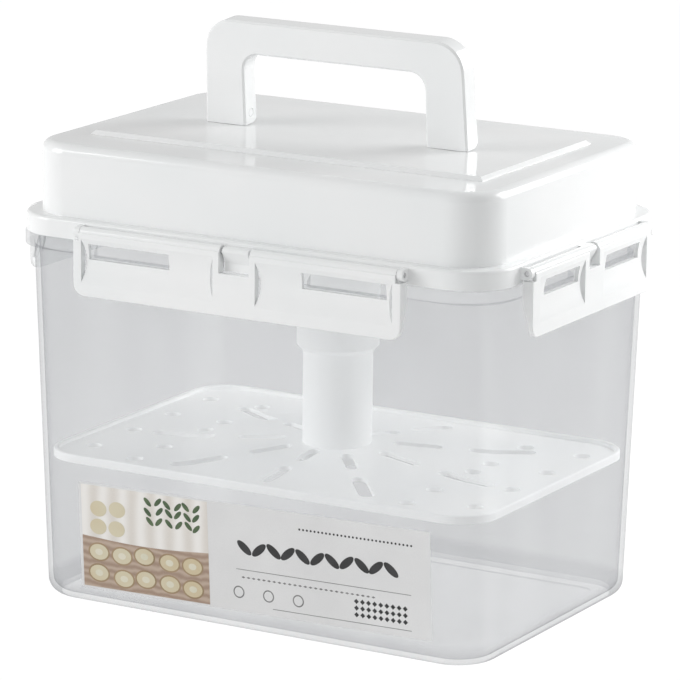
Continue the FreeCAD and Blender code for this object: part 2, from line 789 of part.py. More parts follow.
# ---------------------------------------------------------------- handle
def make_handle():
    """A carrying handle whose two forked feet straddle the lugs, with its origin on the pivot."""
    body = new_body("handle")
    half_thickness = handle_thickness / 2
    sketch = new_sketch(body, "handle_outline", "XZ_Plane")
    base, top = handle_base_length / 2, handle_top_length / 2
    polygon(
        sketch,
        (-base, -handle_foot),
        (base, -handle_foot),
        (top, handle_height),
        (-top, handle_height),
    )
    bow = pad(body, "bow", sketch, handle_thickness, symmetric=True)
    corners = lies_at(handle_height)
    bow = dress(
        "Fillet", body, "bow_corners", bow,
        lambda edge: corners(edge) and near(edge.BoundBox.XLength, 0), handle_corner,
    )

    sketch = new_sketch(body, "grip_outline", "XZ_Plane")
    grip = grip_length / 2
    rectangle(sketch, -grip, -handle_foot * 2, grip, grip_height)
    opening = pocket(body, "grip_opening", sketch, handle_thickness * 2, symmetric=True)
    corners_inside = lies_at(grip_height)
    opening = dress(
        "Fillet", body, "grip_corners", opening,
        lambda edge: corners_inside(edge) and near(edge.BoundBox.XLength, 0), grip_corner,
    )

    front, back = lies_at(-half_thickness, "Y"), lies_at(half_thickness, "Y")
    underside = lies_at(-handle_foot)
    dress(
        "Chamfer", body, "bow_edges", opening,
        lambda edge: (front(edge) or back(edge)) and not underside(edge), handle_bevel,
    )

    sketch = new_sketch(body, "foot_rounding", "YZ_Plane")
    centre_y, centre_z = half_thickness - foot_round, foot_round - handle_foot
    path(
        sketch,
        arc_to(half_thickness, centre_z, centre_y, centre_z, 1),
        line_to(half_thickness * 2, centre_z),
        line_to(half_thickness * 2, -handle_foot * 2),
        line_to(centre_y, -handle_foot * 2),
        line_to(centre_y, -handle_foot),
    )
    pocket(body, "foot_heel", sketch, handle_base_length * 2, symmetric=True)

    for end in (1, -1):
        add_fork(body, end)
    body.Placement = FreeCAD.Placement(
        FreeCAD.Vector(0, 0, 0), FreeCAD.Rotation(FreeCAD.Vector(1, 0, 0), handle_lean.value)
    )
    bind(body, "Placement.Base.z", pivot_z)
    return body


def add_fork(body, end):
    """Cut one foot into a fork, open below and behind, and bore it for its pin."""
    side_name = "right" if end > 0 else "left"
    sketch = new_sketch(body, f"fork_{side_name}", "YZ_Plane", lug_x * end)
    slot_front = lug_radius + lug_front_gap
    slot_top = lug_radius + lug_end_gap
    rectangle(sketch, -slot_front, -handle_foot * 2, handle_thickness, slot_top)
    pocket(body, sketch.Name + "_slot", sketch, lug_width + lug_side_gap * 2, symmetric=True)
    sketch = new_sketch(body, f"fork_{side_name}_bore", "YZ_Plane", (grip_length / 2 + pin_length / 2) * end)
    circle(sketch, 0, 0, pin_diameter / 2)
    pocket(body, sketch.Name + "_hole", sketch, pin_length, symmetric=True)


def make_handle_pins():
    """Two short pins that the handle folds on, pressed into its feet from the inside."""
    middle = grip_length / 2 + pin_length / 2
    for side_name, end in (("left", -1), ("right", 1)):
        rod(f"handle_pin_{side_name}", pin_diameter / 2, pin_length, pin_chamfer, x=middle * end, z=pivot_z)


# ---------------------------------------------------------------- latches
def make_latch(side):
    """A snap latch with its origin on its hinge axis and its face towards -Y before it is turned."""
    name = f"latch_{side.name}"
    body = new_body(name)
    half = side.latch_length / 2
    outer = latch_face
    inner = latch_face - latch_plate
    scoop_radius = ((scoop_height / 2) ** 2 + scoop_depth ** 2) / (scoop_depth * 2)
    scoop_centre = outer - scoop_depth + scoop_radius
    back_radius = scoop_radius + latch_plate
    rib_end = half - side.border + latch_plate

    # flat plate with two round lower corners
    sketch = new_sketch(body, name + "_outline", "XZ_Plane", inner)
    path(
        sketch,
        line_to(half - latch_corner, -latch_drop),
        arc_to(half, latch_corner - latch_drop, half - latch_corner, latch_corner - latch_drop, 1),
        line_to(half, latch_rise),
        line_to(-half, latch_rise),
        line_to(-half, latch_corner - latch_drop),
        arc_to(latch_corner - half, -latch_drop, latch_corner - half, latch_corner - latch_drop, 1),
    )
    plate = pad(body, name + "_plate", sketch, latch_plate)
    dress("Fillet", body, name + "_face_edge", plate, lies_at(-outer, "Y"), latch_round)

    # the back of the scoops, a rib with a round back that runs between the two end borders
    sketch = new_sketch(body, name + "_back", "YZ_Plane")
    rib_front = (outer + inner) / 2
    rib_reach = (back_radius ** 2 - (scoop_centre - rib_front) ** 2) ** 0.5
    path(
        sketch,
        arc_to(-rib_front, rib_reach - scoop_drop, -scoop_centre, -scoop_drop, 1),
        line_to(-rib_front, -rib_reach - scoop_drop),
    )
    pad(body, name + "_back_rib", sketch, rib_end * 2, symmetric=True)

    # two finger scoops, one on each side of the boss
    scoop_length = half - side.border - side.boss / 2
    for end_name, end in (("right", 1), ("left", -1)):
        middle = (half - side.border + side.boss / 2) / 2
        sketch = new_sketch(body, f"{name}_scoop_{end_name}", "YZ_Plane", middle * end)
        circle(sketch, -scoop_centre, -scoop_drop, scoop_radius)
        pocket(body, sketch.Name + "_cut", sketch, scoop_length, symmetric=True)

    # cheeks behind the plate, deep at the hinge: one at each end and one on each side of the notch
    cheek_end = latch_corner - latch_drop
    for end_name, end in (("right", 1), ("left", -1)):
        for cheek_name, middle in (("outer", half - cheek_width / 2), ("inner", (side.notch + cheek_width) / 2)):
            sketch = new_sketch(body, f"{name}_{cheek_name}_cheek_{end_name}", "YZ_Plane", middle * end)
            polygon(
                sketch,
                (-rib_front, 0),
                (-rib_front, cheek_end),
                (-inner, cheek_end),
                (cheek_reach, -cheek_straight),
                (cheek_reach, 0),
            )
            pad(body, sketch.Name + "_rib", sketch, cheek_width, symmetric=True)

    # barrel on the hinge axis, between the two ears
    sketch = new_sketch(body, name + "_barrel_section", "YZ_Plane")
    circle(sketch, 0, 0, hinge_radius)
    barrel_length = side.latch_length - (ear_width + ear_gap) * 2
    pad(body, name + "_barrel", sketch, barrel_length, symmetric=True)
    sketch = new_sketch(body, name + "_bore_section", "YZ_Plane")
    circle(sketch, 0, 0, rod_diameter / 2 + barrel_gap)
    pocket(body, name + "_bore", sketch, side.latch_length, symmetric=True)

    # openings through the plate: the notch over the knuckle, the two corners beside the ears,
    # the two windows that snap over the catches and the gills beside border and boss
    sketch = new_sketch(body, name + "_openings", "XZ_Plane")
    rectangle(sketch, -side.notch / 2, -side.notch_drop, side.notch / 2, hinge_radius * 2)
    for end in (1, -1):
        near_x, far_x = barrel_length / 2, half + latch_plate
        low = -(hinge_radius + ear_gap * 2)
        rectangle(sketch, *ordered(near_x * end, far_x * end, low, hinge_radius * 2))
        near_x, far_x = side.window_start, side.window_start + side.window_length
        low = -window_drop
        rectangle(sketch, *ordered(near_x * end, far_x * end, low, low + window_height))
        add_gill(sketch, (half - side.border) * end, -end)
        add_gill(sketch, side.boss / 2 * end, end)
    pocket(body, name + "_cut_through", sketch, latch_drop * 2, symmetric=True)

    x, y = side.origin()
    place(body, x, y, hinge_z, side.quarter_turns)
    return body


def ordered(first_x, second_x, low, high):
    """Corners of a rectangle in left, bottom, right, top order."""
    left, right = sorted((first_x, second_x), key=lambda size: size.value)
    return left, low, right, high


def add_gill(sketch, wall_x, direction):
    """A crescent opening whose straight side is the wall of a scoop, bulging in one direction."""
    half = gill_height / 2
    radius = (half ** 2 + gill_width ** 2) / (gill_width * 2)
    centre_x = wall_x + (gill_width - radius) * direction
    path(
        sketch,
        arc_to(wall_x, half - scoop_drop, centre_x, -scoop_drop, direction),
        line_to(wall_x, -half - scoop_drop),
    )


# ---------------------------------------------------------------- telescopic column
def make_guide_sleeve():
    """Outer tube that hangs from the lid's ceiling."""
    body = new_body("guide_sleeve")
    inner, outer = sleeve_inner / 2, sleeve_outer / 2
    top = ceiling + panel_rise
    turned(body, "sleeve_tube", (inner, sleeve_bottom), (outer, sleeve_bottom), (outer, top), (inner, top))
    return body


def make_guide_bush():
    """Bush in the lower end of the sleeve that centres the column and stops its head."""
    body = new_body("guide_bush")
    bore = column_outer / 2 + slide_gap
    outer = sleeve_outer / 2
    bottom = sleeve_bottom - bush_flange
    turned(
        body, "bush_ring",
        (bore, bottom),
        (outer - bush_taper, bottom),
        (outer, bottom + bush_taper),
        (outer, sleeve_bottom),
        (sleeve_inner / 2, sleeve_bottom),
        (sleeve_inner / 2, sleeve_bottom + bush_spigot),
        (bore, sleeve_bottom + bush_spigot),
    )
    return body


head_radius = sleeve_inner / 2 - slide_gap
ring_radius = sleeve_inner / 2 - ring_gap
ring_middle = column_top - head_height / 2
groove_radius = ring_radius - ring_depth


def make_lift_column():
    """Inner tube, closed at the top, with a grooved head that slides in the sleeve."""
    body = new_body("lift_column")
    inner, outer = column_inner / 2, column_outer / 2
    groove_low = ring_middle - ring_height / 2 - ring_gap
    groove_high = ring_middle + ring_height / 2 + ring_gap
    turned(
        body, "column_tube",
        (inner, hub_top),
        (outer, hub_top),
        (outer, column_top - head_height),
        (head_radius, column_top - head_height),
        (head_radius, groove_low),
        (groove_radius - ring_gap, groove_low),
        (groove_radius - ring_gap, groove_high),
        (head_radius, groove_high),
        (head_radius, column_top),
        (0, column_top),
        (0, column_top - column_cap),
        (inner, column_top - column_cap),
    )
    return body


def make_grip_ring():
    """Silicone ring in the head's groove; its friction holds the strainer at its height."""
    body = new_body("grip_ring")
    low, high = ring_middle - ring_height / 2, ring_middle + ring_height / 2
    ring = turned(
        body, "ring_section", (groove_radius, low), (ring_radius, low), (ring_radius, high), (groove_radius, high)
    )
    dress(
        "Fillet", body, "ring_edges", ring,
        lambda edge: near(edge.BoundBox.ZLength, 0) and near(edge.BoundBox.XMax, ring_radius), ring_round,
    )
    return body


# ---------------------------------------------------------------- strainer plate
def make_strainer_plate():
    """Perforated plate that rises to a hub in the middle and has a lip all round."""
    body = new_body("strainer_plate")
    bottom = plate_top - plate_thickness
    sketch = new_sketch(body, "plate_outline", "XY_Plane", bottom)
    rounded_rectangle(sketch, plate_outline)
    pad(body, "plate", sketch, plate_thickness)

    sketch = new_sketch(body, "lip_outline", "XY_Plane", bottom)
    rounded_rectangle(sketch, plate_outline)
    rounded_rectangle(sketch, grown(plate_outline, -lip_wall))
    lip = pad(body, "lip", sketch, plate_thickness + lip_height)
    dress("Fillet", body, "lip_edge", lip, lies_at(plate_top + lip_height), lip_round)

    sketch = new_sketch(body, "cone_opening", "XY_Plane", bottom)
    circle(sketch, 0, 0, cone_radius - plate_thickness)
    pocket(body, "cone_hole", sketch, plate_thickness * 2, upward=True)
    hole = column_inner / 2
    hub_bottom = hub_top - plate_thickness
    turned(
        body, "cone",
        (hole, hub_bottom),
        (hub_radius, hub_bottom),
        (cone_radius, bottom),
        (cone_radius, plate_top),
        (hub_radius, hub_top),
        (hole, hub_top),
    )

    depth = hub_top - bottom
    for number in range(RAY_COUNT):
        angle = FRONT_RAY + number * 360 / RAY_COUNT
        reach = ray_reach(angle)
        sketch = new_sketch(body, f"ray_{number}", "XY_Plane", bottom)
        stadium(sketch, angle, reach * inner_slot_start, reach * inner_slot_end, inner_slot_width)
        stadium(sketch, angle, reach * outer_slot_start, reach, outer_slot_width)
        pocket(body, f"ray_{number}_slots", sketch, depth, upward=True)

    sketch = new_sketch(body, "round_holes", "XY_Plane", bottom)
    for end in (1, -1):
        for steps in OUTER_ROW:
            circle(sketch, outer_hole_x * end, hole_step * steps, hole_diameter / 2)
        for steps in INNER_ROW:
            circle(sketch, inner_hole_x * end, hole_step * steps, hole_diameter / 2)
    pocket(body, "hole_cuts", sketch, depth, upward=True)
    return body


def ray_reach(angle):
    """How far a ray of slots runs from the middle: a rounded box, longer towards the ends."""
    across = abs(math.cos(math.radians(angle)))
    along = abs(math.sin(math.radians(angle)))
    return ((across / ray_reach_x) ** ray_power + (along / ray_reach_y) ** ray_power) ** (-1 / ray_power)


def make_foot_nut():
    """Nut under the plate with a spigot in the column's bore."""
    body = new_body("foot_nut")
    top = hub_top - plate_thickness
    bottom = top - nut_height
    spigot = column_inner / 2 - ring_gap
    turned(
        body, "nut",
        (0, bottom),
        (nut_radius, bottom),
        (nut_radius, top),
        (spigot, top),
        (spigot, top + nut_spigot),
        (spigot - nut_wall, top + nut_spigot),
        (spigot - nut_wall, bottom + nut_floor),
        (0, bottom + nut_floor),
    )
    return body


# ---------------------------------------------------------------- assembly
def main():
    """Build every piece, check it and write it out."""
    make_container()
    make_label()
    make_lid()
    make_gasket()
    make_handle()
    make_handle_pins()
    for side in SIDES:
        make_latch(side)
        x, y = side.origin()
        length = side.latch_length - rod_inset * 2
        rod(f"latch_rod_{side.name}", rod_diameter / 2, length, rod_chamfer, x, y, hinge_z, side.quarter_turns)
    make_guide_sleeve()
    make_guide_bush()
    make_lift_column()
    make_grip_ring()
    make_strainer_plate()
    make_foot_nut()
    doc.recompute()
    check_and_write()


def check_and_write():
    """Stop at any failed object or bad shape, then write each body to its own file."""
    for item in doc.Objects:
        if "Invalid" in item.State or "Error" in item.State:
            raise RuntimeError(f"{item.Label} failed: {item.State}")
    bodies = [item for item in doc.Objects if item.TypeId == "PartDesign::Body"]
    for body in bodies:
        if body.Shape.isNull() or not body.Shape.isValid():
            raise RuntimeError(f"{body.Label} has a bad shape")
        if len(body.Shape.Solids) != 1:
            raise RuntimeError(f"{body.Label} has {len(body.Shape.Solids)} solids")
    os.makedirs("parts", exist_ok=True)
    for body in bodies:
        body.Shape.exportStep(f"parts/{body.Label}.step")
        print(f"{body.Label}: {body.Shape.Volume / 1000:.2f} cm3")


main()
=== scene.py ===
# %% [markdown]
# # A pickle keeper with a lift strainer
# A clear moulded tub carries a white lid. The lid has a carrying handle on top, four snap latches round
# its skirt, and a telescopic column underneath that presses a perforated plate down on the vegetables.
# The solids come in as a fixed frame, already in their places, in metres. This lesson gives them light,
# finishes and a printed label, and never moves them.

# %% Load the frame
from math import cos, pi, radians, sin

import bmesh
import bpy
from mathutils import Matrix, Vector


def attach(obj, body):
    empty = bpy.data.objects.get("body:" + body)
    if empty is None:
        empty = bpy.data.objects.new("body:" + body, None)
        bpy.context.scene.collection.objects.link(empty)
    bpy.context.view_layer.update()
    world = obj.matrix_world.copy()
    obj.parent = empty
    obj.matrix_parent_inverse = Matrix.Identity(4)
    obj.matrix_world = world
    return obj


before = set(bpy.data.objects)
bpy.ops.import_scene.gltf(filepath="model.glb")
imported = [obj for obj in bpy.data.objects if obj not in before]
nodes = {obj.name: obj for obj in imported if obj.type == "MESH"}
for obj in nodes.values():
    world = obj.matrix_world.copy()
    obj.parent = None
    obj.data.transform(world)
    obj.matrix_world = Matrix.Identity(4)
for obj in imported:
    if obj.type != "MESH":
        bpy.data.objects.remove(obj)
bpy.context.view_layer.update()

# %% [markdown]
# ## The camera
# A product like this is taken with a long lens from a little above, so that its upright edges stay
# nearly parallel. The camera could be aimed with a constraint, but writing its three axes out keeps
# every number in sight: how far round the object it stands, how high, how far off and how it is rolled.

# %% Camera
# in dots of the render
FRAME_SIDE = 680.0
FOCAL_LENGTH = 4550.0
SHIFT_X, SHIFT_Y = 2.20, 41.41
# in millimetres
SENSOR = 36.0
# in degrees, where azimuth 0 looks at the keeper's front
AZIMUTH, ELEVATION, ROLL = 30.04, 13.96, 0.54
# in metres
TARGET = Vector((0.0, 0.0, 0.09692))
DISTANCE = 2.0216


def camera_axes(azimuth, elevation, roll):
    """The camera's right, up and backward directions, with right turned towards up by the roll."""
    backward = Vector((sin(azimuth) * cos(elevation), -cos(azimuth) * cos(elevation), sin(elevation)))
    right = Vector((cos(azimuth), sin(azimuth), 0.0))
    up = backward.cross(right)
    return (
        right * cos(roll) + up * sin(roll),
        up * cos(roll) - right * sin(roll),
        backward,
    )


right, up, backward = camera_axes(radians(AZIMUTH), radians(ELEVATION), radians(ROLL))
stand = TARGET + backward * DISTANCE
lens = bpy.data.cameras.new("long_lens")
lens.sensor_width = SENSOR
lens.lens = FOCAL_LENGTH / FRAME_SIDE * SENSOR
lens.shift_x, lens.shift_y = SHIFT_X / FRAME_SIDE, SHIFT_Y / FRAME_SIDE
lens.clip_start = 0.1
lens.clip_end = 60.0
camera = bpy.data.objects.new("camera", lens)
turn = Matrix((right, up, backward)).transposed().to_4x4()
camera.matrix_world = Matrix.Translation(stand) @ turn
bpy.context.collection.objects.link(camera)
bpy.context.scene.camera = camera
bpy.context.scene.view_settings.view_transform = "Standard"
print("camera stands at", [round(c, 3) for c in stand], "with a lens of", round(lens.lens, 1), "mm")

# %% [markdown]
# ## Building a finish out of nodes
# Every finish below is a small tree of shader nodes. Wiring them by hand takes many lines, so one class
# holds a tree and has a short word for each kind of node that the finishes need. Everything reads Object
# coordinates, which are metres here, so a scale of 900 means 900 grains to the metre.

# %% A short way to write node trees
WHITE = (1.0, 1.0, 1.0, 1.0)


class Finish:
    """A new material and short words for the nodes in it."""

    def __init__(self, name):
        self.material = bpy.data.materials.new(name)
        self.material.use_nodes = True
        self.tree = self.material.node_tree
        self.tree.nodes.clear()
        self.out = self.tree.nodes.new("ShaderNodeOutputMaterial")
        coordinates = self.tree.nodes.new("ShaderNodeTexCoord").outputs
        self.place, self.normal = coordinates["Object"], coordinates["Normal"]

    def node(self, kind, **inputs):
        made = self.tree.nodes.new("ShaderNode" + kind)
        for name, value in inputs.items():
            self.feed(made.inputs[name.replace("_", " ")], value)
        return made

    def feed(self, socket, value):
        if isinstance(value, bpy.types.NodeSocket):
            self.tree.links.new(value, socket)
        else:
            socket.default_value = value

    def sum(self, operation, *values):
        """The outcome of one Math node, named by its operation."""
        made = self.tree.nodes.new("ShaderNodeMath")
        made.operation = operation
        for socket, value in zip(made.inputs, values):
            self.feed(socket, value)
        return made.outputs[0]

    def axes(self, vector):
        """The X, Y and Z of a vector, by their letters."""
        return self.node("SeparateXYZ", Vector=vector).outputs

    def stretched(self, x, y, z):
        """The place with each axis scaled by itself, for a noise drawn out along one of them."""
        made = self.node("Mapping", Vector=self.place)
        made.inputs["Scale"].default_value = (x, y, z)
        return made.outputs["Vector"]

    def noise(self, scale, detail=2.0, where=None):
        made = self.node("TexNoise", Vector=where or self.place, Scale=scale, Detail=detail)
        return made.outputs["Fac"]

    def span(self, value, low, high, start=0.35, end=0.65):
        """Spreads a value from low to high between start and end, where most noise lies unless told."""
        made = self.node("MapRange", Value=value)
        made.inputs["From Min"].default_value = start
        made.inputs["From Max"].default_value = end
        made.inputs["To Min"].default_value = low
        made.inputs["To Max"].default_value = high
        return made.outputs["Result"]

    def mix(self, share, one, other):
        """Blends two colours. A Mix node keeps them in sockets 6 and 7, and its colour in output 2."""
        made = self.tree.nodes.new("ShaderNodeMix")
        made.data_type = "RGBA"
        self.feed(made.inputs["Factor"], share)
        self.feed(made.inputs[6], one)
        self.feed(made.inputs[7], other)
        return made.outputs[2]

    def mix_shaders(self, share, one, other):
        made = self.node("MixShader")
        self.feed(made.inputs[0], share)
        self.feed(made.inputs[1], one.outputs[0])
        self.feed(made.inputs[2], other.outputs[0])
        return made.outputs[0]

    def principled(self, colour, roughness, normal=None, **fixed):
        """The usual surface, with any other of its numbers set by name."""
        made = self.node("BsdfPrincipled", Base_Color=colour, Roughness=roughness, **fixed)
        if normal is not None:
            self.feed(made.inputs["Normal"], normal)
        return made

    def drift(self, scale, one, other):
        """A colour that wanders between two near shades."""
        return self.mix(self.span(self.noise(scale), 0.0, 1.0), one, other)

    def bump(self, height, strength, distance):
        made = self.node("Bump", Height=height, Strength=strength, Distance=distance)
        return made.outputs["Normal"]

    def done(self, shader):
        self.tree.links.new(shader, self.out.inputs["Surface"])
        return self.material


def paint(object_, material):
    """Puts the material in every slot of an object."""
    if not object_.material_slots:
        object_.data.materials.append(material)
    for place in object_.material_slots:
        place.material = material


# %% [markdown]
# ## The sweep
# The keeper stands on a plain white sweep. A ray that the eye follows, straight, through clear walls or
# off a gloss, should find it almost white, and yet a breath of the keeper's shadow has to stay on it. So
# the sweep is mostly emission and partly diffuse for such rays, and plain diffuse for the light itself.

# %% Sweep
SEEN_WHITE = 0.86
SWEEP_GLOW = 1.09
SWEEP_SIDE = 24.0


def seen(f):
    """1 for a ray from the camera, or one that a gloss or a clear wall sent on, and 0 for light."""
    path = f.node("LightPath").outputs
    either = f.sum("MAXIMUM", path["Is Camera Ray"], path["Is Glossy Ray"])
    return f.sum("MAXIMUM", either, path["Is Transmission Ray"])


def sweep_finish():
    f = Finish("white_sweep")
    cloudy = f.span(f.noise(3.0), 0.84, 0.86)
    matt = f.node("BsdfDiffuse", Color=f.mix(cloudy, (0.0, 0.0, 0.0, 1.0), WHITE))
    glow = f.node("Emission", Strength=SWEEP_GLOW)
    return f.done(f.mix_shaders(f.sum("MULTIPLY", seen(f), SEEN_WHITE), matt, glow))


def square(name, side):
    mesh = bpy.data.meshes.new(name)
    corners = [(x * side / 2, y * side / 2, 0.0) for x, y in ((-1, -1), (1, -1), (1, 1), (-1, 1))]
    mesh.from_pydata(corners, [], [(0, 1, 2, 3)])
    made = bpy.data.objects.new(name, mesh)
    bpy.context.collection.objects.link(made)
    return made


floor = square("floor", SWEEP_SIDE)
paint(floor, sweep_finish())

# %% [markdown]
# ## A light tent
# A tent round the table is bright at its walls and dim at its top. Light from the walls comes in under the
# lid, through the clear tub, to the plate, while the dim top keeps the lid from going paler than its sides.
# Polished faces mirror a plainer, greyer tent, so that the handle's legs show as bright streaks in the lid,
# and the camera itself sees plain white above the sweep.

# %% World
TENT_WALL, WALL_STEEPNESS = 0.80, 0.05  # a steepness is the sine of the angle above the horizon
TENT_TOP, TOP_STEEPNESS = 0.48, 0.75
MIRRORED_TENT = 0.62

world = bpy.data.worlds.new("studio")
bpy.context.scene.world = world
world.use_nodes = True
links = world.node_tree.links


def world_node(kind, **inputs):
    made = world.node_tree.nodes.new("ShaderNode" + kind)
    for socket, value in inputs.items():
        made.inputs[socket.replace("_", " ")].default_value = value
    return made


sky = world.node_tree.nodes["Background"]
sky.inputs["Color"].default_value = WHITE
direction = world_node("TexCoord")
steepness = world_node("SeparateXYZ")
tent = world_node(
    "MapRange", From_Min=WALL_STEEPNESS, From_Max=TOP_STEEPNESS, To_Min=TENT_WALL, To_Max=TENT_TOP
)
tent_or_mirrored = world_node("MapRange", To_Max=MIRRORED_TENT)
ray = world_node("LightPath")
strength = world_node("Math")
strength.operation = "MAXIMUM"
links.new(direction.outputs["Generated"], steepness.inputs[0])
links.new(steepness.outputs["Z"], tent.inputs["Value"])
links.new(tent.outputs["Result"], tent_or_mirrored.inputs["To Min"])
links.new(ray.outputs["Is Glossy Ray"], tent_or_mirrored.inputs["Value"])
links.new(tent_or_mirrored.outputs["Result"], strength.inputs[0])
links.new(ray.outputs["Is Camera Ray"], strength.inputs[1])
links.new(strength.outputs[0], sky.inputs["Strength"])

# %% [markdown]
# ## Lamps
# Two soft boxes stand low at the keeper's sides, a large one to the left of its front and a smaller one
# behind its right side. Each lights one face squarely and only grazes the rounded corner between them,
# which is why that corner has a soft grey shade. Standing low, they also reach in under the lid, through
# the clear walls, to the plate. There is none overhead, so the top stays a little darker than the sides.

# %% Soft boxes
AIM = Vector((0.0, 0.0, 0.11))


def soft_box(name, azimuth, elevation, distance, width, height, watts):
    """A soft box round the keeper: azimuth 0 is in front of it and 90 is to its right, in degrees."""
    a, e = radians(azimuth), radians(elevation)
    lamp = bpy.data.lights.new(name, "AREA")
    lamp.shape = "RECTANGLE"
    lamp.size, lamp.size_y = width, height
    lamp.energy = watts
    made = bpy.data.objects.new(name, lamp)
    made.location = AIM + Vector((sin(a) * cos(e), -cos(a) * cos(e), sin(e))) * distance
    made.rotation_euler = (AIM - made.location).to_track_quat("-Z", "Y").to_euler()
    bpy.context.collection.objects.link(made)
    return made


soft_box("box_left", azimuth=-52.0, elevation=20.0, distance=1.9, width=0.9, height=1.1, watts=15.5)
soft_box("box_right", azimuth=134.0, elevation=30.0, distance=0.60, width=0.34, height=0.38, watts=2.15)

# %% [markdown]
# ## White moulded plastic
# The lid, the handle with its pins and the latches are injection moulded from one glossy white plastic.
# Close up it has a faint orange peel from the tool, its gloss varies a little, and its white drifts by a
# percent or two with the thickness of the wall. Three noises of different sizes do these three things.
# The latches' backs, which show through the tub and lie in shade, get a faint painted glow that lightens
# that shade.

# %% White plastic
COLLAR_SIDES = {"X": 0.1195, "Y": 0.0835}  # just outside the tub's collar
RIM_HEIGHT = 0.1662
# the strength of the painted glow that lightens the shade on the latches' backs
LATCH_GLOW = 0.38
MOULDED_IOR = 1.49


def light_through_latches(f):
    """A painted glow on the latches' backs: beside the collar, below the rim and turned towards the tub."""
    place, facing = f.axes(f.place), f.axes(f.normal)
    backs = []
    for axis, collar_side in COLLAR_SIDES.items():
        outward = f.sum("MULTIPLY", place[axis], facing[axis])
        backs.append(f.sum("LESS_THAN", outward, -collar_side))
    below_rim = f.sum("LESS_THAN", place["Z"], RIM_HEIGHT)
    return f.sum("MULTIPLY", f.sum("MAXIMUM", *backs), f.sum("MULTIPLY", below_rim, LATCH_GLOW))


def white_plastic():
    f = Finish("white_plastic")
    shader = f.principled(
        f.drift(14.0, (0.865, 0.880, 0.882, 1.0), (0.900, 0.905, 0.905, 1.0)),
        f.span(f.noise(60.0, 3.0), 0.07, 0.13),
        f.bump(f.noise(420.0, 1.0), 0.03, 0.0003),
        IOR=MOULDED_IOR,
        Emission_Color=WHITE,
        # the latches' backs get a painted glow here
        Emission_Strength=light_through_latches(f),
    )
    return f.done(shader.outputs[0])


# %% [markdown]
# ## Clear tub plastic
# The tub is a natural polypropylene: clear, but slightly milky, so that it greys what is behind it. Real
# glass shaders bend light at both faces of each wall, which is slow and speckled. Here each face lets
# most of the light straight through and adds a thin milky film with a gloss, which is what the eye reads.
# The film has a faint painted glow that lightens the shade inside the tub, and a painted shade at its
# edges: its colour greys and its glow dims where the wall turns away from the eye.
#
# The film isn't even. It thickens where a wall turns away from the eye, and it has faint upright bands
# from the way the melt ran. It is denser in the back wall and round the foot's edge, and thinner over the
# flat of the foot. It is thinner in the collar and the right wall too, which is painted light: it lightens
# the shade seen through the latches' windows and the right side.

# %% Clear plastic
FILM = (0.125, 0.175)
BAND_SCALE = (16.0, 16.0, 3.0)
NEAR_EDGE_FILM, AT_EDGE_FILM = 0.12, 0.75
# a painted glow on the film, lightening the shade seen through the tub
FILM_GLOW = 0.125
LIGHT_HELD_BACK = 0.08

# where each zone starts and ends, in metres, and how strong it is at either end: the back wall adds its
# share of film, the collar and the right wall take theirs away, and the foot lets in the two that follow
COLLAR_ZONE = dict(start=0.1600, end=0.1610, low=0.0, high=0.35)
RIGHT_ZONE = dict(start=0.109, end=0.112, low=0.0, high=0.27)
BACK_ZONE = dict(start=0.073, end=0.076, low=0.0, high=0.30)
FOOT_ZONE = dict(start=0.005, end=0.010, low=1.0, high=0.0)
FOOT_FLAT, FOOT_EDGE = -0.5, 0.7
FOOT_CORNER_CENTRES = {"X": 0.0923, "Y": 0.0554}
FOOT_CORNER_RADIUS = 0.0152


def foot_film(f, place):
    """What the foot adds to the film: less over its flat, and more outside its rounded rectangle."""
    past_corner = []
    for axis, corner_centre in FOOT_CORNER_CENTRES.items():
        past = f.sum("SUBTRACT", f.sum("ABSOLUTE", place[axis]), corner_centre)
        past_corner.append(f.sum("POWER", f.sum("MAXIMUM", past, 0.0), 2.0))
    from_centre = f.sum("SQRT", f.sum("ADD", *past_corner))
    at_edge = f.sum("GREATER_THAN", from_centre, FOOT_CORNER_RADIUS)
    in_foot = f.span(place["Z"], **FOOT_ZONE)
    return f.sum("MULTIPLY", in_foot, f.span(at_edge, FOOT_FLAT, FOOT_EDGE, 0.0, 1.0))


def film_share(f, grazing):
    """How much of each ray the milky film takes: its bands, its grazing edges and its zones."""
    place = f.axes(f.place)
    bands = f.span(f.noise(1.0, 2.0, f.stretched(*BAND_SCALE)), *FILM)
    near_edge = f.sum("MULTIPLY", grazing, NEAR_EDGE_FILM)
    at_edge = f.sum("MULTIPLY", f.sum("POWER", grazing, 4.0), AT_EDGE_FILM)
    thickness = f.sum("ADD", bands, f.sum("ADD", near_edge, at_edge))
    denser = f.sum("ADD", 1.0, f.span(place["Y"], **BACK_ZONE))
    # the thinner film in the collar and the right wall is a painted lightening of the shade there
    thinner = f.sum("MAXIMUM", f.span(place["Z"], **COLLAR_ZONE), f.span(place["X"], **RIGHT_ZONE))
    zones = f.sum("ADD", f.sum("SUBTRACT", denser, thinner), foot_film(f, place))
    return f.sum("MULTIPLY", thickness, zones)


